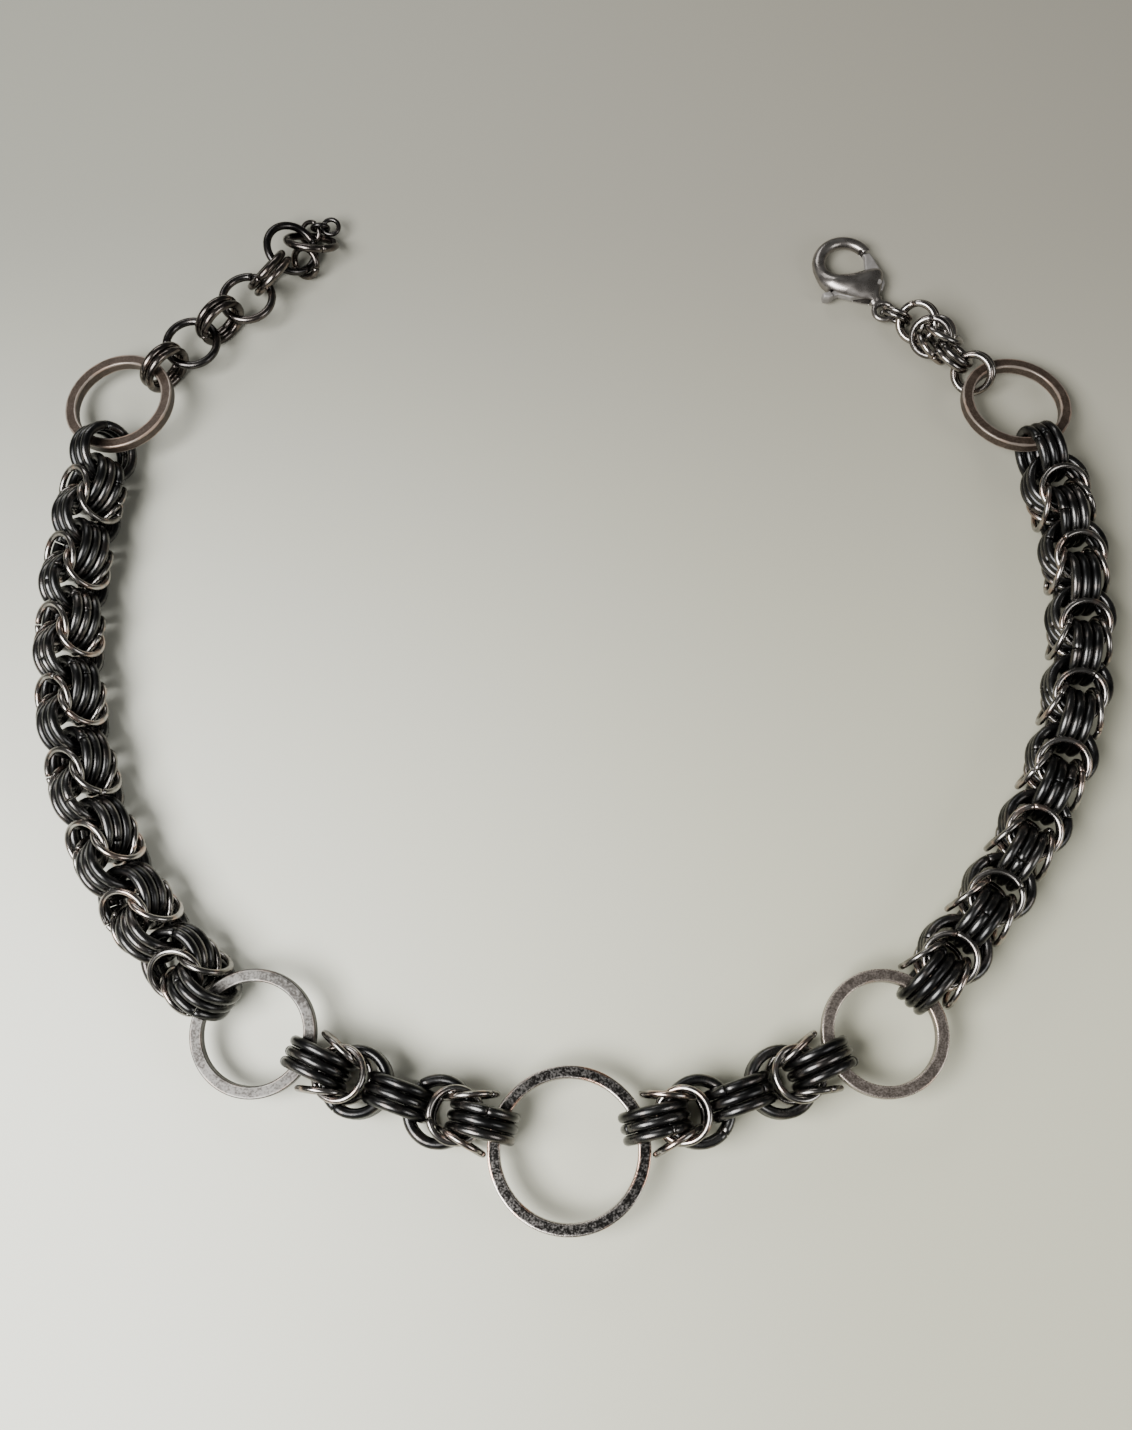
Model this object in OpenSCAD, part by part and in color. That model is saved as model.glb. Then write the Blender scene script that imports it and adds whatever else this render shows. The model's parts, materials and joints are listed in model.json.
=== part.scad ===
// Chainmail necklace laid open on a flat surface, unclasped.
// Heavy dark links hang together in threes, with knots of four thin bright
// links at every other joint, between five flat rings. Millimetres, +Z up,
// origin on the surface below the middle of the whole necklace.

/* [Weave] */
// Mean radius of a heavy link
link_r = 4.85; // [4.8:0.01:4.9]
// Wire of a heavy link
link_wire = 1.6; // [1.4:0.05:1.6]
// Spacing of the links inside a triple
triple_pitch = 1.74; // [1.72:0.01:1.74]
// Mean radius of a thin knot link
knot_r = 4.1; // [4.05:0.01:4.1]
// Wire of a thin knot link
knot_wire = 0.96; // [0.8:0.02:0.96]
// Angle by which a knot link spreads from the chain's line
knot_flare = 17; // [14:0.5:18]
// Distance of a knot link's middle from the chain's line
knot_height = 3.46; // [3.43:0.01:3.48]
// How far a knot link sits back from the middle of its joint
knot_back = 0.72; // [0.68:0.01:0.76]

/* [Side chains] */
// Distance between triples in the long side chains
side_step = 6.45; // [6.4:0.01:6.5]
// Heading of the left chain where it leaves its front ring
left_heading = 138; // [136:1:140]
// Heading of the right chain where it leaves its front ring
right_heading = 47; // [45:1:49]
// Lean of the left chain, which has rolled over on the surface
left_roll = -56; // [-58:1:-54]
// Lean of the right chain
right_roll = 0; // [-2:1:2]

/* [Front chains] */
// Distance between triples in the two front chains
front_step = 6.9; // [6.85:0.01:6.92]
// Angle of each front chain's line at the centre ring, above the cross line
front_angle = 13; // [12:1:14]
// Direction from the centre ring to the first triple of a front chain
front_start = 17; // [16:1:18]

/* [Flat rings] */
// Outer diameter of the centre ring
centre_ring_d = 25.4; // [25:0.1:26]
// Outer diameter of the front and back rings
small_ring_d = 20.2; // [20:0.1:20.6]
// Side of the rings' square wire
ring_wire = 2; // [1.8:0.05:2]
// Width of the worn edge of that wire
ring_edge = 0.15; // [0.05:0.05:0.3]
// Distance from a triple's middle to the ring wire that it holds
ring_seat = 2.4; // [2.2:0.05:2.4]
// The same distance in the left chain, where the triples lean
leaning_seat = 1.96; // [1.94:0.01:1.98]
// Tilt of the two back rings
back_ring_tilt = 10; // [8:1:11]

/* [Clasp chain and extension] */
// Mean radius of a clasp chain link
clasp_link_r = 3.45; // [3.4:0.01:3.5]
// Wire of a clasp chain link
clasp_link_wire = 1.2; // [1.0:0.05:1.2]
// Mean radius of the extension's single links
single_r = 4.7; // [4.6:0.05:4.8]
// Mean radius of the extension's paired links
pair_r = 4.2; // [4.1:0.05:4.3]
// Wire of the extension links
extension_wire = 1.4; // [1.3:0.05:1.4]

/* [Clasp] */
// Outer radius of the hook
hook_outer_r = 6; // [5.9:0.05:6.1]
// Inner radius of the hook
hook_inner_r = 3.7; // [3.6:0.05:3.8]
// Distance from the eye to the middle of the hook
hook_reach = 12.2; // [12:0.1:12.4]
// Thickness of the clasp's body
body_h = 4.2; // [4:0.1:4.4]
// Thickness of the lever
lever_h = 1.4; // [1.3:0.05:1.5]
// Diameter of the pivot pin
pin_d = 1; // [0.9:0.05:1.1]

/* [Hidden] */

up = [0, 0, 1];
// Height of each chain's line over the surface
flat_axis_z = link_r + link_wire / 2;
left_axis_z = 5.92;
// Middle of the centre ring, which puts the origin under the whole necklace's middle
centre = [-1.191, -79.867, flat_axis_z];

// Change of heading at each knot of a side chain, counted from its front ring
left_turns = [-9, -9, -8.4, -7.2, -7.4, -6, -4.5, -4];
right_turns = [4.5, 5.5, 7, 8.5, 8.5, 8.5, 8.5, 8.5];
// Change of heading at the two crosswise triples of a front chain
front_turns = [6, 5];
// The left chain leans less towards its ends: change of lean at the plain joints there
left_ease = -8.8;

// Rotates vector v about the unit axis a by an angle in degrees
function turn(v, a, angle) =
  v * cos(angle) + cross(a, v) * sin(angle) + a * (a * v) * (1 - cos(angle));
function unit(v) = v / norm(v);
function heading_line(angle) = [cos(angle), sin(angle), 0];
function aimed(azimuth, tilt) = [cos(azimuth) * sin(tilt), sin(azimuth) * sin(tilt), cos(tilt)];

// A chain's units, each as [middle, normal]. A row is [turn about the unit's own normal,
// step to the next unit, twist of the next unit about the line]. Neighbours stay at right
// angles to each other apart from that twist, so their clearances stay the same.
function walk(rows, point, line, normal, k = 0) =
  k == len(rows) ? [] :
  let (
    next_line = turn(line, normal, rows[k][0]),
    square_normal = k % 2 == 0 ? cross(next_line, normal) : cross(normal, next_line),
    next_normal = turn(square_normal, next_line, rows[k][2])
  )
  concat([[point, normal]], walk(rows, point + rows[k][1] * next_line, next_line, next_normal, k + 1));

// Lean of unit k in a side chain of 17 triples
function lean_at(k, roll, ease) = roll - ease * max(0, 3 - floor(k / 2), floor(k / 2) - 6);
// Each turn of a leaning side chain is shared by its flat and its upright triple
function side_rows(turns, roll, ease) =
  [for (k = [0 : 2 * len(turns)])
    let (lean = lean_at(k, roll, ease))
    [k == 0 ? 0 : k % 2 == 1 ? turns[(k - 1) / 2] * cos(lean) : turns[k / 2 - 1] * sin(lean),
      side_step, lean_at(k + 1, roll, ease) - lean]];

// A chain that starts with a unit on edge: its line rises by the angle pitch
function edge_chain(rows, start, angle, pitch, roll) =
  let (
    side = turn(heading_line(angle), up, 90),
    line = turn(heading_line(angle), side, -pitch)
  )
  walk(rows, start, line, turn(side, line, roll));

// Rings are kept as [middle, normal, mean radius, wire]
function triple_rings(t) =
  [for (k = [-1 : 1]) [t[0] + k * triple_pitch * t[1], t[1], link_r, link_wire]];
function pair_rings(t, pitch, mean_r, wire) =
  [for (s = [-1, 1]) [t[0] + s * pitch / 2 * t[1], t[1], mean_r, wire]];

// Four thin rings round the joint of two units: two pass through the holder unit and
// spread over the faces of the crossed one, two do the same the other way round.
// A form is [set-back, height, spread, mean radius, wire].
weave_knot = [knot_back, knot_height, knot_flare, knot_r, knot_wire];
clasp_knot = [0.5, 1.62, 12, clasp_link_r, clasp_link_wire];
function knot_rings(holder, crossed, form) =
  let (
    step = norm(holder[0] - crossed[0]),
    line = unit(holder[0] - crossed[0]),
    reach = step / 2 - form[0]
  )
  [for (s = [-1, 1]) each [
    [crossed[0] + reach * line + s * form[1] * crossed[1],
      cos(form[2]) * crossed[1] + s * sin(form[2]) * line, form[3], form[4]],
    [crossed[0] + (step - reach) * line + s * form[1] * holder[1],
      cos(form[2]) * holder[1] - s * sin(form[2]) * line, form[3], form[4]]]];

// Middle radius of the flat rings' wire
centre_ring_r = centre_ring_d / 2 - ring_wire / 2;
small_ring_r = small_ring_d / 2 - ring_wire / 2;

// Front chain on one side: side is 1 for the right and -1 for the left
function front_triples(side) =
  edge_chain([for (bend = [0, front_turns[0], 0, front_turns[1], 0]) [side * bend, front_step, 0]],
    centre + (centre_ring_r + ring_seat) * [side * cos(front_start), sin(front_start), 0],
    side > 0 ? front_angle : 180 - front_angle, 0, 0);
left_front = front_triples(-1);
right_front = front_triples(1);

// Middle of a front ring, out beyond the last triple of its front chain
function front_ring_middle(triples, angle) =
  triples[4][0] + (small_ring_r + ring_seat) * heading_line(angle);
left_front_ring_at = front_ring_middle(left_front, 156);
right_front_ring_at = front_ring_middle(right_front, 24);

// The rings at the ends of the leaning chain lean a little too
left_front_normal = aimed(248, 6.4);
left_start = left_front_ring_at + (small_ring_r + leaning_seat) * heading_line(138);
left_side = edge_chain(side_rows(left_turns, left_roll, left_ease),
  [left_start[0], left_start[1], left_axis_z], left_heading, -1.1, lean_at(0, left_roll, left_ease));
right_side = edge_chain(side_rows(right_turns, right_roll, 0),
  right_front_ring_at + (small_ring_r + ring_seat) * heading_line(47), right_heading, 0, right_roll);

left_back_ring_at = left_side[16][0] +
  (small_ring_r + leaning_seat - 0.32) * heading_line(80.4) - 0.55 * up;
right_back_ring_at = right_side[16][0] + (small_ring_r + ring_seat - 0.2) * heading_line(106) - 1.4 * up;
// The back rings are raised on the side that the side chains hold
left_back_normal = aimed(148, back_ring_tilt - 0.7);
right_back_normal = turn(up, heading_line(-22), -back_ring_tilt);

function dark_rings(triples) = [for (t = triples) each triple_rings(t)];
function side_knots(triples) =
  [for (k = [0 : 2 : len(triples) - 2]) each knot_rings(triples[k], triples[k + 1], weave_knot)];
function front_knots(triples) =
  concat(knot_rings(triples[0], triples[1], weave_knot), knot_rings(triples[4], triples[3], weave_knot));

// Clasp chain from the right back ring: two pairs, a knot over the next joint, two more pairs
clasp_pitch = 1.34;
clasp_start = right_back_ring_at + (small_ring_r + 0.8) * heading_line(136);
clasp_units = edge_chain([[0, 5.05, 5], [-3, 9.2, 0], [2, 4.35, 5]],
  [clasp_start[0], clasp_start[1], 3.78], 134, 4, 40);
// The small pair that holds the clasp's eye stands nearly upright
eye_pair = [clasp_units[2][0] + [-3.6, 2.25, -1.36], aimed(64, 65)];
clasp_rings = concat(
  pair_rings(clasp_units[0], clasp_pitch, clasp_link_r, clasp_link_wire),
  pair_rings(clasp_units[1], clasp_pitch, clasp_link_r, clasp_link_wire),
  knot_rings(clasp_units[1], clasp_units[2], clasp_knot),
  pair_rings(clasp_units[2], clasp_pitch, clasp_link_r, clasp_link_wire),
  pair_rings(eye_pair, 0.92, 2.7, 0.8));

// Extension chain from the left back ring: upright pairs and flat single links in turn
extension_start = left_back_ring_at + (small_ring_r + 1.6) * heading_line(47);
extension_units = edge_chain(
  [[0, 6.9, 0], [-3, 6.9, 0], [0, 6.8, 0], [10, 6.8, 33], [10, 7.2, -8], [0, 0, 0]],
  [extension_start[0], extension_start[1], pair_r + extension_wire / 2], 48, 0, 0);
end_link = extension_units[5];
function upright_pair(t) = pair_rings(t, 1.6, pair_r, extension_wire);
function single_ring(t) = [t[0], t[1], single_r, extension_wire];
// Links that hang on the end link or on one another, each as
// [offset from the end link's middle, azimuth and tilt of the link's normal, mean radius, wire]
end_links = [
  [[3.8, 1.2, 0.3], 78, 42, 4.6, 1.4],
  [[2.66, -2.33, -1.02], 231, 55, 2.7, 1.2],
  [[3, 5.03, -2.12], 221, 38.5, 2.1, 0.8],
  [[5.13, 5.38, -0.96], 271, 105, 1.5, 0.8],
  [[7.18, 5.55, -0.91], 267, 11, 1.5, 0.8]];
extension_rings = concat(
  upright_pair(extension_units[0]), [single_ring(extension_units[1])],
  upright_pair(extension_units[2]), [single_ring(extension_units[3])],
  upright_pair(extension_units[4]), [single_ring(end_link)],
  [for (e = end_links) [end_link[0] + e[0], aimed(e[1], e[2]), e[3], e[4]]]);

// The clasp lies flat: x runs from its eye to its hook, and its gate is on the -y side
clasp_at = eye_pair[0] + 2.62 * heading_line(142);
clasp_heading = 124;
clasp_z = body_h / 2;
clasp_eye_r = 1.8;
clasp_eye_wire = 0.9;
hook_r = (hook_outer_r + hook_inner_r) / 2;
hook_wire = hook_outer_r - hook_inner_r;
pivot = [5, -2.4];
pin_gap = 0.02;
lever_gap = 0.05;
slot_gap = 0.1;
// The gate ends on an arc about the pivot, just short of the hook's tip
gate_r = 7.3;
gate_gap = 0.2;

// A round-wire ring
module ring(r) {
  translate(r[0])
    rotate([0, acos(r[1][2]), atan2(r[1][1], r[1][0])])
      rotate_extrude($fn = 48)
        translate([r[2], 0])
          circle(d = r[3], $fn = 24);
}

module rings(list) {
  for (r = list)
    ring(r);
}

// A flat ring of square wire with worn edges
module flat_ring(at, normal, mean_r) {
  half = ring_wire / 2;
  soft = half - ring_edge;
  translate(at)
    rotate([0, acos(normal[2]), atan2(normal[1], normal[0])])
      rotate_extrude($fn = 96)
        translate([mean_r, 0])
          polygon([[-half, -soft], [-soft, -half], [soft, -half], [half, -soft],
            [half, soft], [soft, half], [-soft, half], [-half, soft]]);
}

module at_clasp() {
  translate([clasp_at[0], clasp_at[1], clasp_z])
    rotate(clasp_heading)
      children();
}

// A plate of the given thickness, centred on the clasp's middle plane
module plate(thickness) {
  translate([0, 0, -thickness / 2])
    linear_extrude(thickness)
      children();
}

// Teardrop of the clasp's body, before it is opened
module clasp_teardrop() {
  hull() {
    translate([1.8, 0, 0]) sphere(r = 1.1, $fn = 32);
    translate([7.1, -2.9, 0]) sphere(r = clasp_z, $fn = 32);
    translate([8.4, 3.5, 0]) sphere(r = clasp_z, $fn = 32);
    translate([9.3, 0, 0]) sphere(r = clasp_z, $fn = 32);
  }
}

// The space in the body that the lever swings in
module lever_space() {
  plate(lever_h + 2 * slot_gap)
    polygon([[2.9, -9], [13, -9], [13, 1.2], [9.3, 1.2], [9, 4.2], [9.2, 9], [2.9, 9]]);
}

// The half of the clasp away from its gate
module upper_side() {
  translate([0, 0, -body_h])
    cube([20, 10, 2 * body_h]);
}

module clasp_body() {
  color([0.6, 0.57, 0.54])
    at_clasp() {
      difference() {
        clasp_teardrop();
        // the opening of the hook, with its slanted lower edge
        plate(body_h + 1)
          intersection() {
            translate([hook_reach, 0]) circle(r = hook_inner_r, $fn = 64);
            polygon([[9.0, -3.4], [9.3, -2.3], [11.4, 2.9], [18, 6], [18, -6], [9, -6]]);
          }
        lever_space();
        translate([pivot[0], pivot[1], -body_h])
          cylinder(r = pin_d / 2 + pin_gap, h = 2 * body_h, $fn = 32);
      }
      difference() {
        translate([hook_reach, 0, 0])
          rotate(-95)
            rotate_extrude(angle = 245, $fn = 96)
              translate([hook_r, 0])
                circle(d = hook_wire, $fn = 32);
        difference() {
          translate([pivot[0], pivot[1], -body_h])
            cylinder(r = gate_r + gate_gap, h = 2 * body_h, $fn = 96);
          upper_side();
        }
        intersection() {
          lever_space();
          upper_side();
        }
      }
      rotate_extrude($fn = 64)
        translate([clasp_eye_r, 0])
          circle(d = clasp_eye_wire, $fn = 24);
    }
}

module clasp_lever() {
  color([0.5, 0.48, 0.46])
    at_clasp()
      difference() {
        union() {
          plate(lever_h)
            difference() {
              polygon([[13, -3.9], [13, -5.8], [7.4, -4.95], [4.6, -3.9], [3.6, -2.6], [3.7, -0.6],
                [5.6, 3.6], [7.5, 5.2], [7.7, 7.2], [8.4, 8.1], [9.3, 7.7], [8.8, 6.2], [8.7, 4.4],
                [8.9, 1.5], [9.26, -2.57], [11.5, -4.1]]);
              difference() {
                translate([9, -9]) square([6, 9]);
                translate(pivot) circle(r = gate_r, $fn = 96);
              }
            }
          // thumb tab
          plate(2.6)
            polygon([[7.7, 6.6], [7.7, 7.2], [8.4, 8.1], [9.3, 7.7], [8.9, 6.6]]);
        }
        translate([pivot[0], pivot[1], -body_h])
          cylinder(r = pin_d / 2 + lever_gap, h = 2 * body_h, $fn = 32);
      }
}

module clasp_pin() {
  color([0.4, 0.38, 0.36])
    at_clasp()
      translate([pivot[0], pivot[1], -1.7])
        cylinder(d = pin_d, h = 3.4, $fn = 32);
}

module centre_ring() { color([0.2, 0.19, 0.18]) flat_ring(centre, up, centre_ring_r); }
module left_front_ring() {
  color([0.62, 0.6, 0.57]) flat_ring(left_front_ring_at, left_front_normal, small_ring_r);
}
module right_front_ring() {
  color([0.42, 0.39, 0.36]) flat_ring(right_front_ring_at, up, small_ring_r);
}
module left_back_ring() {
  color([0.33, 0.27, 0.24]) flat_ring(left_back_ring_at, left_back_normal, small_ring_r);
}
module right_back_ring() {
  color([0.33, 0.27, 0.24]) flat_ring(right_back_ring_at, right_back_normal, small_ring_r);
}
module left_dark_links() { color([0.07, 0.07, 0.07]) rings(dark_rings(left_side)); }
module left_knot_links() { color([0.6, 0.56, 0.53]) rings(side_knots(left_side)); }
module right_dark_links() { color([0.07, 0.07, 0.07]) rings(dark_rings(right_side)); }
module right_knot_links() { color([0.6, 0.56, 0.53]) rings(side_knots(right_side)); }
module left_front_dark_links() { color([0.07, 0.07, 0.07]) rings(dark_rings(left_front)); }
module left_front_knot_links() { color([0.6, 0.56, 0.53]) rings(front_knots(left_front)); }
module right_front_dark_links() { color([0.07, 0.07, 0.07]) rings(dark_rings(right_front)); }
module right_front_knot_links() { color([0.6, 0.56, 0.53]) rings(front_knots(right_front)); }
module clasp_link(k) { color([0.62, 0.6, 0.58]) ring(clasp_rings[k - 1]); }
module extension_link(k) { color([0.24, 0.21, 0.2]) ring(extension_rings[k - 1]); }

centre_ring();
left_front_ring();
right_front_ring();
left_back_ring();
right_back_ring();
left_dark_links();
left_knot_links();
right_dark_links();
right_knot_links();
left_front_dark_links();
left_front_knot_links();
right_front_dark_links();
right_front_knot_links();
for (k = [1 : len(clasp_rings)])
  clasp_link(k);
for (k = [1 : len(extension_rings)])
  extension_link(k);
clasp_body();
clasp_lever();
clasp_pin();
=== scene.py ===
import bpy
import json
import math
import numpy as np
from mathutils import Matrix, Vector


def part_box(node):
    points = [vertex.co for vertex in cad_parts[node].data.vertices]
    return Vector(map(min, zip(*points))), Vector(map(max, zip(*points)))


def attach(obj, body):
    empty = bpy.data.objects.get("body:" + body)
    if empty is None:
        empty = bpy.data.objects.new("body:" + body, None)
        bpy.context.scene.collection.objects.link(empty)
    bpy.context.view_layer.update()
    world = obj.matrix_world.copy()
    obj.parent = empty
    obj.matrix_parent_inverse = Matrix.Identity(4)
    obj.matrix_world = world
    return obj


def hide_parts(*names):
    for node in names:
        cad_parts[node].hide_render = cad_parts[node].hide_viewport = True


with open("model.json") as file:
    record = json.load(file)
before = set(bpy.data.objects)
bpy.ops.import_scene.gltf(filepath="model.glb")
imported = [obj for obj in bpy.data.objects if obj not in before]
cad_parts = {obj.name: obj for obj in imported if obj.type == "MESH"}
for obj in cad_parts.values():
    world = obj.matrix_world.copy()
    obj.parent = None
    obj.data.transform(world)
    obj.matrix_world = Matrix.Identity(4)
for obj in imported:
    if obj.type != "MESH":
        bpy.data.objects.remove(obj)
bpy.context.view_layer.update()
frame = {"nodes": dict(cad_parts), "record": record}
mm = 0.001
record = frame["record"]
bodyOf = {node: body for body, nodes in record["behaviour"]["bodies"].items() for node in nodes}


class Field:
    # a socket that takes part in Python expressions; each operation adds a Math node
    def __init__(self, finish, socket):
        self.finish = finish
        self.socket = socket

    def math(self, operation, first, second):
        return self.finish.node("ShaderNodeMath", {"operation": operation}, {0: first, 1: second})

    def __add__(self, other):
        return self.math("ADD", self, other)

    def __sub__(self, other):
        return self.math("SUBTRACT", self, other)

    def __rsub__(self, other):
        return self.math("SUBTRACT", other, self)

    def __mul__(self, other):
        return self.math("MULTIPLY", self, other)

    __radd__ = __add__
    __rmul__ = __mul__


class Finish:
    # one procedural material round a Principled shader; constants are its sockets' own fixed values
    def __init__(self, name, **constants):
        self.material = bpy.data.materials.new(name)
        self.material.use_nodes = True
        self.tree = self.material.node_tree
        self.shader = self.tree.nodes["Principled BSDF"]
        for socket, value in constants.items():
            self.shader.inputs[socket].default_value = value
        self.place = self.node("ShaderNodeTexCoord", output="Object")

    def node(self, kind, settings=None, inputs=None, output=0):
        # settings are set first, then each socket gets its value or link
        made = self.tree.nodes.new(kind)
        for key, value in (settings or {}).items():
            setattr(made, key, value)
        for key, value in (inputs or {}).items():
            if isinstance(value, Field):
                self.tree.links.new(value.socket, made.inputs[key])
            else:
                made.inputs[key].default_value = value
        return Field(self, made.outputs[output])

    def feed(self, socket, field):
        self.tree.links.new(field.socket, self.shader.inputs[socket])

    def noise(self, size, detail=3.0, roughness=0.55, place=None):
        # size is the width in mm of one blotch
        return self.node("ShaderNodeTexNoise", {"noise_dimensions": "3D"}, {
            "Vector": place or self.place, "Scale": 1 / (size * mm), "Detail": detail,
            "Roughness": roughness})

    def wirePlace(self, scale):
        # the place along and round the wire; a scale below 1 draws a pattern out that way
        return self.node("ShaderNodeVectorMath", {"operation": "MULTIPLY"}, {
            0: self.node("ShaderNodeAttribute", {"attribute_name": "wirePlace"}, output="Vector"),
            1: scale})

    def ramp(self, field, low, high):
        # 0 below low, 1 above high, smooth between
        return self.node("ShaderNodeMapRange", {"interpolation_type": "SMOOTHSTEP"}, {
            "Value": field, "From Min": low, "From Max": high})

    def attribute(self, name):
        return self.node("ShaderNodeAttribute", {"attribute_name": name}, output="Fac")

    def axis(self, name):
        return self.node("ShaderNodeSeparateXYZ", {}, {0: self.place}, output=name)

    def mix(self, amount, first, second):
        # the first colour where the amount is 0, the second where it is 1
        return self.node("ShaderNodeMix", {"data_type": "RGBA"}, {
            0: amount, 6: first, 7: second}, output=2)

    def bump(self, height, depth):
        # depth in mm
        self.feed("Normal", self.node("ShaderNodeBump", {}, {
            "Strength": 1.0, "Distance": depth * mm, "Height": height}, output="Normal"))


def shade(r, g, b):
    return (r, g, b, 1.0)


def newPiece(name, node, points, faces, material, attributes=None):
    # the piece that stands for a node: it rides on its body and replaces it
    mesh = bpy.data.meshes.new(name)
    mesh.from_pydata(points.reshape(-1, 3).tolist(), [], faces)
    mesh.polygons.foreach_set("use_smooth", np.full(len(mesh.polygons), True))
    for key, values in (attributes or {}).items():
        kind, field = ("FLOAT", "value") if values.ndim == 1 else ("FLOAT_VECTOR", "vector")
        layer = mesh.attributes.new(key, kind, "POINT")
        layer.data.foreach_set(field, values.astype(np.float32).ravel())
    piece = bpy.data.objects.new(name, mesh)
    bpy.context.scene.collection.objects.link(piece)
    mesh.materials.append(material)
    mesh.update()
    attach(piece, bodyOf[node])
    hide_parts(node)


def gridQuads(rows, columns, closed):
    # quads between neighbours on a grid: the columns close into a loop, and the rows too where closed
    row, column = np.meshgrid(np.arange(rows if closed else rows - 1), np.arange(columns), indexing="ij")
    nextRow, nextColumn = (row + 1) % rows, (column + 1) % columns
    return np.stack([row * columns + column, nextRow * columns + column,
                     nextRow * columns + nextColumn, row * columns + nextColumn], -1).reshape(-1, 4)


samePlace = 0.001 * mm   # points of a node that round to the same multiple of this are one point


def nodeMesh(node):
    # a node's points, with those at the same place merged, and its triangles
    mesh = frame["nodes"][node].data
    points = np.empty(len(mesh.vertices) * 3, np.float32)
    mesh.vertices.foreach_get("co", points)
    corners = np.empty(len(mesh.loops), np.int32)
    mesh.loops.foreach_get("vertex_index", corners)
    points = points.reshape(-1, 3)
    keys = np.round(points / samePlace).astype(np.int64)
    _, first, same = np.unique(keys, axis=0, return_index=True, return_inverse=True)
    return points[first].astype(float), same.reshape(-1)[corners].reshape(-1, 3)


def ringsOf(node):
    # the closed rings in a node, each as middle, normal, mean radius and wire radius, from its mesh:
    # wire radius = half the extent along the normal, mean radius = outer radius - wire radius
    points, triangles = nodeMesh(node)
    label = np.arange(len(points))
    while True:   # every point takes the lowest label in its triangles, until each ring has one label
        lowest = label.copy()
        np.minimum.at(lowest, triangles.ravel(), np.repeat(label[triangles].min(1), 3))
        lowest = lowest[lowest]
        if (lowest == label).all():
            break
        label = lowest
    found = []
    for start in np.unique(label):
        own = points[label == start]
        middle = own.mean(0)
        spread = own - middle
        normal = np.linalg.eigh(spread.T @ spread)[1][:, 0]
        normal = normal if normal[2] >= 0 else -normal
        height = spread @ normal
        wire = (height.max() - height.min()) / 2
        reach = np.linalg.norm(spread - height[:, None] * normal, axis=1).max()
        found.append((middle, normal, reach - wire, wire))
    return found


def axes(normal):
    # two unit vectors square to the normal, from y or, where the normal lies close to y, from x
    first = np.cross(normal, [0.0, 1.0, 0.0])
    if np.linalg.norm(first) < 0.1:
        first = np.cross(normal, [1.0, 0.0, 0.0])
    first = first / np.linalg.norm(first)
    return first, np.cross(normal, first)


# the left chain's middle rolls back towards the photograph's look: degrees for each pair of triples
rollBack = {"line": "left_dark_links", "nodes": ("left_dark_links", "left_knot_links"),
            "degrees": (0, 1, 5, 16, 16, 16, 16, 7, 0)}


def chainLine(node):
    # middles and directions of a chain's pairs; the triples follow one another along y, and a pair is
    # a triple and the next one
    rings = sorted(ringsOf(node), key=lambda ring: ring[0][1])
    triples = np.array([ring[0] for ring in rings]).reshape(-1, 3, 3).mean(1)
    triples = np.concatenate([triples, [2 * triples[-1] - triples[-2]]])
    directions = triples[1::2] - triples[::2]
    directions = directions / np.linalg.norm(directions, axis=1)[:, None]
    return (triples[1::2] + triples[::2]) / 2, directions


def rolled(rings, line):
    # each ring turns about the chain's line by the angle of the pair that it is nearest to
    middles, directions = line
    turned = []
    for middle, normal, meanR, wireR in rings:
        pair = int(np.argmin(np.linalg.norm(middles - middle, axis=1)))
        angle = math.radians(rollBack["degrees"][pair])
        turn = np.array(Matrix.Rotation(angle, 3, Vector(directions[pair])))
        turned.append((middles[pair] + turn @ (middle - middles[pair]), turn @ normal, meanR, wireR))
    return turned


linkForm = {
    "along": 44, "around": 12,   # points along the wire between the cut's edges, and round the wire
    "cut": 0.14, "edge": 0.10,   # gap of the cut and the small edge at both its faces, mm
    "slip": 0.05,                # how far the two faces may stand apart sideways, mm
    "swell": 0.045,              # how much fuller than the solid the wire is on each side, mm
    "streakStep": 20}            # how far apart two links lie in the pattern of streaks, mm
rollLine = chainLine(rollBack["line"])


def linkFaces(rows, columns, count):
    # for each link the quads along its wire, and triangles from the rims of the cut's two faces to their
    # middles, which are the link's last two points
    perLink = rows * columns + 2
    lastRow = (rows - 1) * columns
    side = np.arange(columns)
    nextSide = (side + 1) % columns
    startFace = np.stack([side, nextSide, np.full(columns, perLink - 2)], axis=-1)
    endFace = np.stack([lastRow + nextSide, lastRow + side, np.full(columns, perLink - 1)], axis=-1)
    firstPoints = np.arange(count)[:, None, None] * perLink
    quads = (gridQuads(rows, columns, False) + firstPoints).reshape(-1, 4)
    triangles = (np.concatenate([startFace, endFace]) + firstPoints).reshape(-1, 3)
    return quads.tolist() + triangles.tolist()


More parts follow.
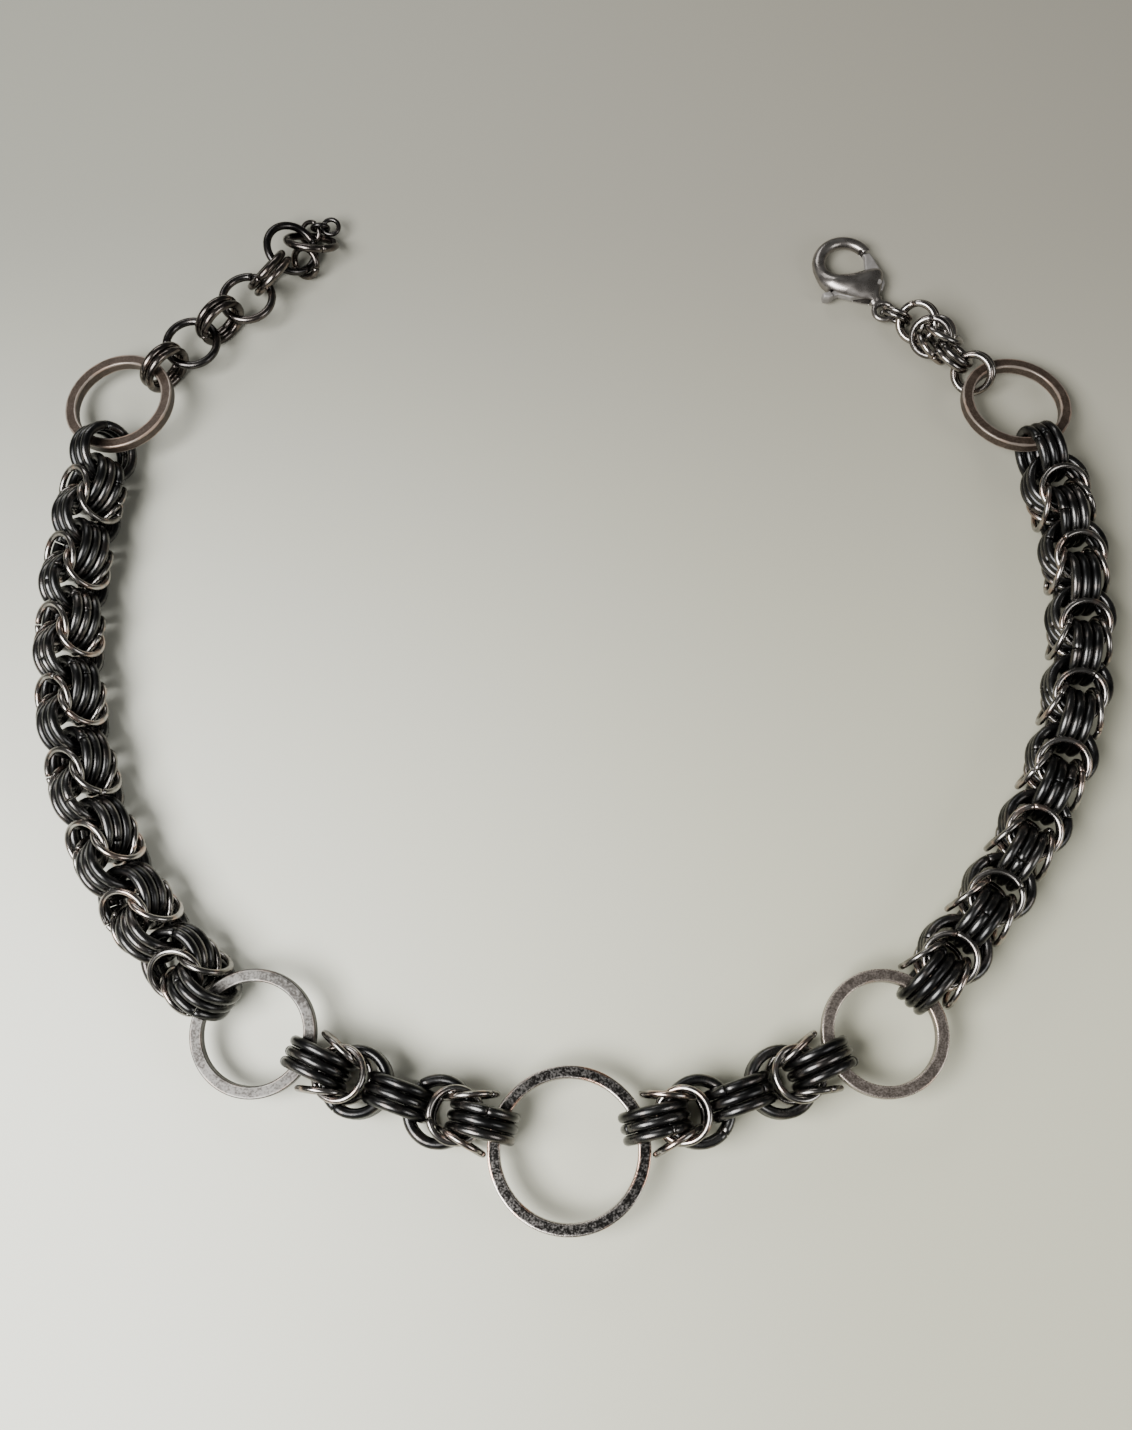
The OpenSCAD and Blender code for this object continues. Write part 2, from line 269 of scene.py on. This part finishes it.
def linkPiece(name, node, material, seed):
    # jump rings: p(t, a) = c + (R + w(t) cos a)(cos t u + sin t v) + (w(t) sin a + slip(t)) n,
    # t runs from one face of the cut to the other, w(t) is the wire radius less a small edge at both ends
    rings = rolled(ringsOf(node), rollLine) if node in rollBack["nodes"] else ringsOf(node)
    rng = np.random.default_rng(seed)
    middle, normal, meanR, wireR = (np.array(values) for values in zip(*rings))
    wireR = wireR + linkForm["swell"] * mm
    first, second = (np.array(side) for side in zip(*[axes(n) for n in normal]))
    count = len(rings)
    turnTo = rng.uniform(0, 2 * math.pi, count)
    halfCut = linkForm["cut"] * mm / 2 / meanR
    start = halfCut + linkForm["edge"] * mm / meanR
    inner = np.linspace(0, 1, linkForm["along"])
    t = start[:, None] + (2 * math.pi - 2 * start)[:, None] * inner
    t = np.concatenate([halfCut[:, None], t, (2 * math.pi - halfCut)[:, None]], axis=1)
    width = np.repeat(wireR[:, None], t.shape[1], axis=1)
    width[:, [0, -1]] -= linkForm["edge"] * mm
    slip = (t / (2 * math.pi) - 0.5) * (rng.uniform(-1, 1, count) * linkForm["slip"] * mm)[:, None]
    a = np.arange(linkForm["around"]) * 2 * math.pi / linkForm["around"]
    angle = (t + turnTo[:, None])[..., None]
    outward = np.cos(angle) * first[:, None] + np.sin(angle) * second[:, None]
    radius = meanR[:, None, None] + width[..., None] * np.cos(a)
    lift = width[..., None] * np.sin(a) + slip[..., None]
    points = (middle[:, None, None] + radius[..., None] * outward[:, :, None]
              + lift[..., None] * normal[:, None, None])
    faceMiddles = (middle[:, None] + meanR[:, None, None] * outward[:, [0, -1]]
                   + slip[:, [0, -1], None] * normal[:, None])
    points = np.concatenate([points.reshape(count, -1, 3), faceMiddles], axis=1)
    rows, columns, perLink = t.shape[1], len(a), points.shape[1]
    cutFace = np.zeros((count, perLink))   # 1 at the middle of a cut's face, 0.5 at its rim, 0 elsewhere
    cutFace[:, :columns] = 0.5
    cutFace[:, -2 - columns:] = 0.5
    cutFace[:, -2:] = 1.0
    path = np.zeros((count, perLink, 3))   # along the wire, round it, and a step from link to link
    path[:, :-2, 0] = np.repeat(t * meanR[:, None], columns, axis=1)
    path[:, :-2, 1] = np.tile(a, rows) * wireR[:, None]
    path[:, :, 2] = (np.arange(count) * linkForm["streakStep"] * mm)[:, None]
    newPiece(name, node, points, linkFaces(rows, columns, count), material, {
        "linkTone": np.repeat(rng.uniform(0, 1, count), perLink), "cutFace": cutFace.ravel(),
        "wirePlace": path.reshape(-1, 3)})


# what the links' finishes share
wireLook = {
    "streak": 1.0, "drawn": (0.25, 1.4, 1.0),     # width in mm, and the scale along and round the wire
    "fine": 0.12, "patch": 2.2,                   # widths of the fine marks and the warm patches, mm
    "wear": (0.38, 0.66), "warm": (0.58, 0.72),   # values of the noise between which they come in
    "wearShift": 0.16, "warmShift": 0.12,         # how much a link's own tone adds to that noise
    "face": (0.55, 0.95)}                         # values of cutFace between which the bare metal comes in


def linkFinish(name, settings):
    # drawn wire: long streaks along the wire, blotches of wear, a tone of its own for each link, and a
    # painted glint: a lighter warm colour on random patches that stands in for highlights
    finish = Finish(name, Metallic=1.0)
    streak = finish.noise(wireLook["streak"], place=finish.wirePlace(wireLook["drawn"]))
    blotch = finish.noise(settings["blotch"])
    fine = finish.noise(wireLook["fine"], 2.0)
    tone = finish.attribute("linkTone")
    worn = blotch * 0.75 + streak * 0.25 + (tone - 0.5) * wireLook["wearShift"]
    wear = finish.ramp(worn, *wireLook["wear"])
    base = finish.mix(wear, settings["dark"], settings["light"])
    # painted highlight: warm patches that take the lighter glint colour
    warm = finish.noise(wireLook["patch"], 2.0) + tone * wireLook["warmShift"]
    warm = finish.ramp(warm, *wireLook["warm"])
    base = finish.mix(warm * settings["glints"], base, settings["glint"])
    face = finish.ramp(finish.attribute("cutFace"), *wireLook["face"])
    finish.feed("Base Color", finish.mix(face, base, settings["cut"]))
    finish.feed("Roughness", settings["rough"] + (streak - 0.5) * 0.12 + (fine - 0.5) * 0.08 - wear * 0.04)
    finish.bump(streak * 0.5 + fine * 0.3 + blotch * 0.5, settings["depth"])
    return finish.material


# glints: how much of the glint, a painted highlight, a warm patch shows; blotch and depth: its width and
# the relief, in mm
blackLinks = linkFinish("blackLinks", {
    "dark": shade(0.031, 0.031, 0.031), "light": shade(0.092, 0.090, 0.087),
    "glint": shade(0.15, 0.125, 0.11), "cut": shade(0.5, 0.48, 0.45),
    "glints": 0.35, "blotch": 2.4, "rough": 0.30, "depth": 0.0042})
brightLinks = linkFinish("brightLinks", {
    "dark": shade(0.15, 0.14, 0.13), "light": shade(0.34, 0.32, 0.30),
    "glint": shade(0.50, 0.35, 0.28), "cut": shade(0.6, 0.5, 0.43),
    "glints": 0.55, "blotch": 2.0, "rough": 0.24, "depth": 0.0042})
claspSteel = linkFinish("claspSteel", {
    "dark": shade(0.13, 0.12, 0.112), "light": shade(0.33, 0.31, 0.29),
    "glint": shade(0.46, 0.36, 0.30), "cut": shade(0.6, 0.5, 0.43),
    "glints": 0.35, "blotch": 2.0, "rough": 0.22, "depth": 0.0035})
bronzeLinks = linkFinish("bronzeLinks", {
    "dark": shade(0.060, 0.052, 0.047), "light": shade(0.17, 0.15, 0.135),
    "glint": shade(0.34, 0.26, 0.21), "cut": shade(0.5, 0.45, 0.4),
    "glints": 0.4, "blotch": 2.0, "rough": 0.24, "depth": 0.0042})
blackSingles = linkFinish("blackSingles", {
    "dark": shade(0.035, 0.033, 0.032), "light": shade(0.095, 0.088, 0.083),
    "glint": shade(0.2, 0.16, 0.14), "cut": shade(0.5, 0.45, 0.4),
    "glints": 0.3, "blotch": 2.0, "rough": 0.26, "depth": 0.0042})

# each chain piece: its node, its finish and the seed for its links' cuts and tones
chainPieces = {
    "leftChainDark": ("left_dark_links", blackLinks, 11),
    "leftChainKnots": ("left_knot_links", brightLinks, 12),
    "rightChainDark": ("right_dark_links", blackLinks, 13),
    "rightChainKnots": ("right_knot_links", brightLinks, 14),
    "leftFrontDark": ("left_front_dark_links", blackLinks, 15),
    "leftFrontKnots": ("left_front_knot_links", brightLinks, 16),
    "rightFrontDark": ("right_front_dark_links", blackLinks, 17),
    "rightFrontKnots": ("right_front_knot_links", brightLinks, 18)}
for name, (node, material, seed) in chainPieces.items():
    linkPiece(name, node, material, seed)
# the loose links at the two ends: how many, their first seeds, and the extension's links that are single
looseLinks = {"clasp": 12, "claspSeed": 31, "extension": 14, "extensionSeed": 51,
              "singles": (3, 6, 9, 12, 13, 14)}
for k in range(looseLinks["clasp"]):
    linkPiece(f"claspChainLink{k + 1}", f"clasp_link_{k + 1}", claspSteel, looseLinks["claspSeed"] + k)
for k in range(looseLinks["extension"]):
    material = blackSingles if k + 1 in looseLinks["singles"] else bronzeLinks
    linkPiece(f"extensionLink{k + 1}", f"extension_link_{k + 1}", material, looseLinks["extensionSeed"] + k)
print("links made")

flatForm = {
    "along": 160, "corner": 4, "side": 5,   # points along the ring and on each corner, parts of each side
    "edge": 0.22}                           # radius of the wire's corners, mm


def squareProfile(half):
    # the outline of square wire, from its half width: each corner is an arc about a middle that lies
    # core away at 45 degrees, (core cos at + edge cos angle, core sin at + edge sin angle), and the
    # sides are straight between them; also which of the points are on corners
    edge = flatForm["edge"] * mm
    turns = np.arange(4) * math.pi / 2
    angle = (turns[:, None] + np.linspace(0, math.pi / 2, flatForm["corner"])).ravel()
    at = np.repeat(turns + math.pi / 4, flatForm["corner"])
    core = (half - edge) * math.sqrt(2)
    corner = np.stack([core * np.cos(at) + edge * np.cos(angle),
                       core * np.sin(at) + edge * np.sin(angle)], 1)
    ahead = np.roll(corner, -1, axis=0)
    isLast = np.tile(np.arange(flatForm["corner"]) == flatForm["corner"] - 1, 4)
    part = np.arange(1, flatForm["side"]) / flatForm["side"]
    between = corner[isLast][:, None] + part[:, None] * (ahead - corner)[isLast][:, None]
    profile = np.concatenate([corner.reshape(4, -1, 2), between], axis=1).reshape(-1, 2)
    return profile, np.tile(np.arange(len(profile) // 4) < flatForm["corner"], 4)


def flatRingPiece(name, node, material):
    # square wire: the profile (x(s), y(s)) with rounded corners is carried round the ring,
    # p(t, s) = c + (R + x(s))(cos t u + sin t v) + y(s) n
    (middle, normal, meanR, half), = ringsOf(node)
    first, second = axes(normal)
    profile, onCorner = squareProfile(half)
    x, y = profile.T
    t = np.arange(flatForm["along"]) * 2 * math.pi / flatForm["along"]
    outward = np.cos(t)[:, None] * first + np.sin(t)[:, None] * second
    points = middle + (meanR + x)[None, :, None] * outward[:, None] + y[None, :, None] * normal
    path = np.stack(np.broadcast_arrays((t * meanR)[:, None], x[None], y[None]), -1)
    newPiece(name, node, points, gridQuads(len(t), len(x), True).tolist(), material, {
        "wornAndHighlitEdge": np.tile(onCorner, len(t)), "wirePlace": path.reshape(-1, 3)})


# what the flat rings' finishes share
flatLook = {
    "brush": 1.0, "drawn": (0.5, 3.0, 3.0),   # width of the brushing in mm, its scale along and across
    "patch": 6.0, "copper": (0.5, 0.62),      # width of the copper patches in mm, noise they come in at
    "worn": (0.5, 0.9)}                       # values of wornAndHighlitEdge between which an edge turns bright


def ringFinish(name, settings):
    # rolled square wire: fine brushing along the ring, dark speckles, and bright edges on every corner,
    # partly wear to bright metal and partly a painted highlight where the edges catch the light
    finish = Finish(name, Metallic=settings["metallic"])
    brushed = finish.noise(flatLook["brush"], 4.0, 0.6, finish.wirePlace(flatLook["drawn"]))
    blotch = finish.noise(settings["blotch"])
    grain = finish.noise(settings["grain"], 3.0, 0.65)
    wear = finish.ramp(grain * 0.7 + blotch * 0.3, *settings["wear"])
    base = finish.mix(wear, settings["dark"], settings["light"])
    warm = finish.ramp(finish.noise(flatLook["patch"], 1.0), *flatLook["copper"])
    # the corners' bright edge: partly wear to bare metal, partly a painted highlight
    worn = finish.attribute("wornAndHighlitEdge") + (blotch - 0.5) * 1.2
    edge = finish.ramp(worn, *flatLook["worn"]) * settings["edges"]
    base = finish.mix(edge, base, finish.mix(warm, settings["edge"], settings["copper"]))
    finish.feed("Base Color", base)
    finish.feed("Roughness", settings["rough"] + (grain - 0.5) * 0.3 + (brushed - 0.5) * 0.15 - edge * 0.14)
    finish.bump(brushed * 0.4 + grain * 0.8 + blotch * 0.3, settings["depth"])
    return finish.material


# edges: how much of the edge's colour, wear and painted highlight, shows; blotch, grain and depth: their
# widths and the relief, in mm
darkRing = ringFinish("darkSpeckledRing", {
    "dark": shade(0.014, 0.013, 0.012), "light": shade(0.145, 0.136, 0.128),
    "edge": shade(0.55, 0.50, 0.45), "copper": shade(0.62, 0.40, 0.30),
    "metallic": 1.0, "blotch": 1.2, "grain": 0.32, "wear": (0.45, 0.62), "edges": 0.9,
    "rough": 0.36, "depth": 0.02})
silverRing = ringFinish("silverRing", {
    "dark": shade(0.020, 0.018, 0.016), "light": shade(0.085, 0.081, 0.075),
    "edge": shade(0.30, 0.285, 0.26), "copper": shade(0.40, 0.33, 0.28),
    "metallic": 0.9, "blotch": 2.2, "grain": 0.4, "wear": (0.40, 0.60), "edges": 0.25,
    "rough": 0.42, "depth": 0.014})
gunmetalRing = ringFinish("gunmetalRing", {
    "dark": shade(0.095, 0.079, 0.067), "light": shade(0.235, 0.200, 0.174),
    "edge": shade(0.50, 0.43, 0.37), "copper": shade(0.50, 0.38, 0.30),
    "metallic": 0.85, "blotch": 1.4, "grain": 0.3, "wear": (0.4, 0.62), "edges": 0.75,
    "rough": 0.38, "depth": 0.015})
bronzeRing = ringFinish("bronzeRing", {
    "dark": shade(0.034, 0.023, 0.016), "light": shade(0.068, 0.049, 0.037),
    "edge": shade(0.30, 0.25, 0.21), "copper": shade(0.36, 0.26, 0.20),
    "metallic": 0.45, "blotch": 1.6, "grain": 0.3, "wear": (0.4, 0.64), "edges": 0.7,
    "rough": 0.44, "depth": 0.012})
flatRingPiece("centreRing", "centre_ring", darkRing)
flatRingPiece("leftFrontRing", "left_front_ring", silverRing)
flatRingPiece("rightFrontRing", "right_front_ring", gunmetalRing)
flatRingPiece("leftBackRing", "left_back_ring", bronzeRing)
flatRingPiece("rightBackRing", "right_back_ring", bronzeRing)
print("flat rings made")


def surfaceOf(field, low, step):
    # the surface where a field on a grid is zero: a point in each cell that it crosses, at the mean
    # of the crossings on the cell's edges, and a quad round each crossed edge
    cells = np.array(field.shape) - 1
    total = np.zeros((cells.prod(), 3))
    count = np.zeros(cells.prod())
    quads = []
    for axis in range(3):
        near = np.take(field, np.arange(cells[axis]), axis)
        far = np.take(field, np.arange(cells[axis]) + 1, axis)
        crossed = (near < 0) != (far < 0)
        at = np.argwhere(crossed)
        place = at.astype(float)
        place[:, axis] += near[crossed] / (near[crossed] - far[crossed])
        corner = []
        for back in ((0, 0), (1, 0), (1, 1), (0, 1)):
            cell = at.copy()
            cell[:, (axis + 1) % 3] -= back[0]
            cell[:, (axis + 2) % 3] -= back[1]
            flat = np.ravel_multi_index(cell.T, cells)
            total += np.stack([np.bincount(flat, place[:, k], len(total)) for k in range(3)], -1)
            count += np.bincount(flat, minlength=len(count))
            corner.append(flat)
        corner = np.stack(corner, -1)
        inwards = near[crossed] > 0
        corner[inwards] = corner[inwards][:, ::-1]
        quads.append(corner)
    used = np.nonzero(count)[0]
    number = np.zeros(len(count), int)
    number[used] = np.arange(len(used))
    return total[used] / count[used, None] * step + low, number[np.concatenate(quads)]


def melted(first, second, size):
    # the smaller of two fields, with a round fillet of about that size where they meet
    share = np.clip(0.5 + 0.5 * (second - first) / size, 0, 1)
    return second + (first - second) * share - size * share * (1 - share)


def fromOutline(x, y, corners):
    # signed distance to a closed outline: the least distance to a side, and below zero inside, where
    # a ray crosses the sides an odd number of times
    nearest = np.full(x.shape, np.inf)
    inside = np.zeros(x.shape, bool)
    for (ax, ay), (bx, by) in zip(corners, np.roll(corners, -1, axis=0)):
        along = (x - ax) * (bx - ax) + (y - ay) * (by - ay)
        share = np.clip(along / ((bx - ax) ** 2 + (by - ay) ** 2), 0, 1)
        nearest = np.minimum(nearest, np.hypot(x - ax - share * (bx - ax), y - ay - share * (by - ay)))
        passes = (ay > y) != (by > y)
        inside ^= passes & (x - ax < (bx - ax) * (y - ay) / (by - ay if by != ay else 1))
    return np.where(inside, -nearest, nearest)


def curved(corners, parts):
    # a smooth closed curve through the corners, a cubic from each corner to the next
    a, b, c, d = (np.roll(corners, shift, axis=0)[:, None] for shift in (1, 0, -1, -2))
    s = np.arange(parts)[:, None] / parts
    bend = (c - a) * s + (2 * a - 5 * b + 4 * c - d) * s ** 2 + (3 * b - a - 3 * c + d) * s ** 3
    return (b + bend / 2).reshape(-1, 2)


# the clasp in its own millimetres: x from its eye to its hook, y away from its gate, z from its middle
claspForm = {
    "pivot": (5.0, -2.4), "heading": 124,   # the pin's place; degrees from the frame's x to the clasp's
    "low": (-2.8, -7.2, -2.9), "high": (19.4, 9.0, 2.9), "step": 0.13,   # the grid of its fields
    "eyeRing": (1.8, 0.52), "eyeBlend": 0.5,   # mean and wire radius; size of the fillet to the drop
    "heightAlong": ((1.5, 1.3), (4.0, 2.0), (7.0, 2.5), (10.0, 2.4), (13.0, 1.5)),   # x and half height
    "height": 2.5, "underside": 2.05,       # the most half height above, and below
    "shoulder": 3.3,                        # depth inside the outline at which the dome is at its height
    "outlineParts": 6, "soften": 3,         # points from corner to corner; reach of the depth's averaging
    "hook": (12.35, -0.1), "hookRadius": 4.95, "hookBlend": 1.0,
    "wireAlong": ((-95, 1.14), (0, 1.17), (60, 1.25), (130, 1.42)),   # degrees round the hook, wire radius
    "hookFrom": (9.5, 2.5), "away": 9.0,    # where x and y are both below these, the tube is left out
    "gateReach": 7.5, "gateBelow": -0.5,    # the gate's arc about the pivot cuts the hook below this y
    "slot": 0.8, "slotEdge": 0.12}          # half width and soft edge of the lever's slot
bodyOutline = np.array([
    (1.7, -0.9), (2.9, -1.7), (4.1, -2.9), (5.4, -4.2), (6.6, -5.05), (7.5, -5.0), (8.35, -4.1),
    (9.1, -2.3), (9.7, -0.3), (10.6, 1.6), (12.0, 3.2), (13.0, 4.4), (12.6, 5.7), (11.0, 6.35),
    (9.4, 6.05), (7.5, 5.1), (5.6, 3.7), (4.0, 2.3), (2.8, 1.2), (1.7, 0.8)])
slotOutline = np.array([
    (2.9, -9.0), (13.0, -9.0), (13.0, 1.2), (9.3, 1.2), (9.0, 4.2), (9.2, 9.0), (2.9, 9.0)])
# the lever in the same millimetres: half thickness of its plate and thumb tab, their soft edges, the
# gap to the gate's arc and where this cuts it, how far its outlines draw in, and the fillet at the tab
leverForm = {"plate": 0.7, "plateEdge": 0.3, "tab": 1.25, "tabEdge": 0.4, "gateGap": 0.2,
             "gateFrom": (9, 0), "drawIn": 0.05, "join": 0.3}
leverOutline = np.array([
    (13.0, -3.9), (13.0, -5.8), (7.4, -4.95), (4.6, -3.9), (3.6, -2.6), (3.7, -0.6), (5.6, 3.6),
    (7.5, 5.2), (7.7, 7.2), (8.4, 8.1), (9.3, 7.7), (8.8, 6.2), (8.7, 4.4), (8.9, 1.5), (9.26, -2.57),
    (11.5, -4.1)])
tabOutline = np.array([(7.6, 6.2), (7.7, 7.2), (8.4, 8.1), (9.3, 7.7), (8.85, 6.2)])


def flatOutline(x, y, corners):
    # an outline's signed distance is the same at every height, so one layer of the grid is enough
    return fromOutline(x[:, :, 0], y[:, :, 0], corners)[:, :, None]


def gateArc(x, y):
    # how far a point is outside the gate's arc about the pivot
    pivotX, pivotY = claspForm["pivot"]
    return np.hypot(x - pivotX, y - pivotY) - claspForm["gateReach"]


def bodyField(x, y, z):
    # a domed drop, (1 - depth / shoulder)^2 + (z / height)^2 < 1, melted into the hook's tapered tube and
    # the eye ring; the gate's arc and the lever's slot are cut out
    depth = -flatOutline(x, y, curved(bodyOutline, claspForm["outlineParts"]))
    span = range(-claspForm["soften"], claspForm["soften"] + 1)
    for axis in (0, 1) * 3:   # three rounds of averaging take the ridge out of the depth
        depth = sum(np.roll(depth, shift, axis) for shift in span) / len(span)
    height = np.interp(x, *zip(*claspForm["heightAlong"]))
    height = np.where(z > 0, height, np.minimum(height, claspForm["underside"]))
    reach = np.clip(1 - depth / claspForm["shoulder"], 0, None)
    drop = (np.hypot(reach, z / height) - 1) * claspForm["height"]
    hookX, hookY = claspForm["hook"]
    angle = np.degrees(np.arctan2(y - hookY, x - hookX))
    wire = np.interp(angle, *zip(*claspForm["wireAlong"]))
    tube = np.hypot(np.hypot(x - hookX, y - hookY) - claspForm["hookRadius"], z) - wire
    tube = np.where(y < claspForm["gateBelow"], np.maximum(tube, -gateArc(x, y)), tube)
    fromX, fromY = claspForm["hookFrom"]
    tube = np.where((x < fromX) & (y < fromY), claspForm["away"], tube)
    body = melted(drop, tube, claspForm["hookBlend"])
    radius, wireR = claspForm["eyeRing"]
    body = melted(body, np.hypot(np.hypot(x, y) - radius, z) - wireR, claspForm["eyeBlend"])
    slot = np.maximum(flatOutline(x, y, slotOutline), abs(z) - claspForm["slot"])
    return -melted(-body, slot, claspForm["slotEdge"])


def leverField(x, y, z):
    # flat plate with soft edges: the outline cut by the gate's arc, and a thicker thumb tab
    outline = flatOutline(x, y, leverOutline)
    fromX, fromY = leverForm["gateFrom"]
    gate = gateArc(x, y) + leverForm["gateGap"]
    outline = np.where((x > fromX) & (y < fromY), np.maximum(outline, gate), outline) + leverForm["drawIn"]
    plate = -melted(-outline, leverForm["plate"] - abs(z), leverForm["plateEdge"])
    tab = flatOutline(x, y, tabOutline) + leverForm["drawIn"]
    tab = -melted(-tab, leverForm["tab"] - abs(z), leverForm["tabEdge"])
    return melted(plate, tab, leverForm["join"])


def claspPiece(name, node, material, field):
    # the surface is turned to the clasp's heading, with its pivot on the middle of the pin
    points, quads = surfaceOf(field, np.array(claspForm["low"]), claspForm["step"])
    turn = np.array(Matrix.Rotation(math.radians(claspForm["heading"]), 3, "Z"))
    pinMiddle = np.mean(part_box("clasp_pin"), axis=0)
    points = (points - [*claspForm["pivot"], 0]) @ turn.T * mm + pinMiddle
    newPiece(name, node, points, quads.tolist(), material)


# widths of the blotches and the grain in mm, and the noise between which the lighter tone comes in
castLook = {"blotch": 1.8, "grain": 0.14, "tone": (0.4, 0.64)}


def castFinish(name, settings):
    # tumbled steel: satin with soft blotches and fine grain
    finish = Finish(name, Metallic=settings["metallic"])
    blotch = finish.noise(castLook["blotch"])
    grain = finish.noise(castLook["grain"], 2.0, 0.65)
    tone = finish.ramp(blotch * 0.8 + grain * 0.2, *castLook["tone"])
    finish.feed("Base Color", finish.mix(tone, settings["dark"], settings["light"]))
    finish.feed("Roughness", settings["rough"] + (grain - 0.5) * 0.12 + (blotch - 0.5) * 0.12)
    finish.bump(grain * 0.6 + blotch * 0.5, settings["depth"])
    return finish.material


claspMetal = castFinish("claspMetal", {
    "dark": shade(0.205, 0.187, 0.172), "light": shade(0.295, 0.273, 0.253),
    "metallic": 0.95, "rough": 0.29, "depth": 0.006})
leverMetal = castFinish("leverMetal", {
    "dark": shade(0.22, 0.207, 0.195), "light": shade(0.30, 0.285, 0.27),
    "metallic": 0.5, "rough": 0.46, "depth": 0.008})
spans = zip(claspForm["low"], claspForm["high"])
grid = np.meshgrid(*[np.arange(low, high, claspForm["step"]) for low, high in spans], indexing="ij")
claspPiece("claspBody", "clasp_body", claspMetal, bodyField(*grid))
claspPiece("claspLever", "clasp_lever", leverMetal, leverField(*grid))
frame["nodes"]["clasp_pin"].material_slots[0].material = leverMetal   # the pin is the solid itself
print("clasp made")

# the photograph is 1132 x 1430 pixels; the camera looks down and a little ahead, place in mm
view = {"place": (-1.691, -81.267, 232.8), "tip": 17.6, "focalPixels": 1401, "photoHeight": 1430,
        "sensorHeight": 36, "nearest": 10}
lens = bpy.data.cameras.new("camera")
lens.sensor_fit = "VERTICAL"
lens.sensor_height = view["sensorHeight"]
lens.lens = view["focalPixels"] / view["photoHeight"] * view["sensorHeight"]
lens.clip_start = view["nearest"] * mm
camera = bpy.data.objects.new("camera", lens)
camera.location = Vector(view["place"]) * mm
camera.rotation_euler = (math.radians(view["tip"]), 0, 0)
bpy.context.scene.collection.objects.link(camera)
bpy.context.scene.camera = camera

# its size, and the spans in metres over which its colour darkens and warms softly to the back and to the
# right: painted shade, the fall of the lamps' light painted into the floor's own colour
floorForm = {"size": 8.0, "rough": 0.75, "shadeToBack": (-0.075, 0.105), "shadeToRight": (-0.11, 0.06),
             "frontLeft": shade(0.715, 0.715, 0.62), "frontRight": shade(0.450, 0.440, 0.335),
             "backLeft": shade(0.247, 0.243, 0.203), "backRight": shade(0.250, 0.236, 0.192)}
floorMesh = bpy.data.meshes.new("floor")
half = floorForm["size"] / 2
floorMesh.from_pydata([(-half, -half, 0), (half, -half, 0), (half, half, 0), (-half, half, 0)], [],
                      [(0, 1, 2, 3)])
floor = bpy.data.objects.new("floor", floorMesh)
bpy.context.scene.collection.objects.link(floor)
floorFinish = Finish("paleSurfaceWithPaintedShade", Metallic=0.0, Roughness=floorForm["rough"])
# painted shade: the pale colour at the front left turns darker and warmer to the back and to the right, as
# a fall of light would
shadeToBack = floorFinish.ramp(floorFinish.axis("Y"), *floorForm["shadeToBack"])
shadeToRight = floorFinish.ramp(floorFinish.axis("X"), *floorForm["shadeToRight"])
front = floorFinish.mix(shadeToRight, floorForm["frontLeft"], floorForm["frontRight"])
back = floorFinish.mix(shadeToRight, floorForm["backLeft"], floorForm["backRight"])
floorFinish.feed("Base Color", floorFinish.mix(shadeToBack, front, back))
floorMesh.materials.append(floorFinish.material)

studio = {"colour": shade(0.86, 0.87, 0.86), "strength": 0.12}
world = bpy.data.worlds.new("studio")
world.use_nodes = True
background = world.node_tree.nodes["Background"]
background.inputs["Color"].default_value = studio["colour"]
background.inputs["Strength"].default_value = studio["strength"]
bpy.context.scene.world = world

# each lamp: place and target in mm, width and height in mm, watts
lamps = {
    "windowLeft": {"place": (-260, -190, 400), "aim": (-60, -60, 0), "size": (360, 260), "watts": 7.5},
    "backWindow": {"place": (-160, 420, 300), "aim": (0, 40, 0), "size": (300, 130), "watts": 0.6},
    "sideFill": {"place": (400, -200, 300), "aim": (0, 0, 0), "size": (240, 240), "watts": 0.9}}
for name, lamp in lamps.items():
    light = bpy.data.lights.new(name, "AREA")
    light.shape = "RECTANGLE"
    light.size, light.size_y = (side * mm for side in lamp["size"])
    light.energy = lamp["watts"]
    holder = bpy.data.objects.new(name, light)
    place = Vector(lamp["place"]) * mm
    holder.location = place
    holder.rotation_euler = (Vector(lamp["aim"]) * mm - place).to_track_quat("-Z", "Y").to_euler()
    bpy.context.scene.collection.objects.link(holder)
print("camera, floor and lamps placed")
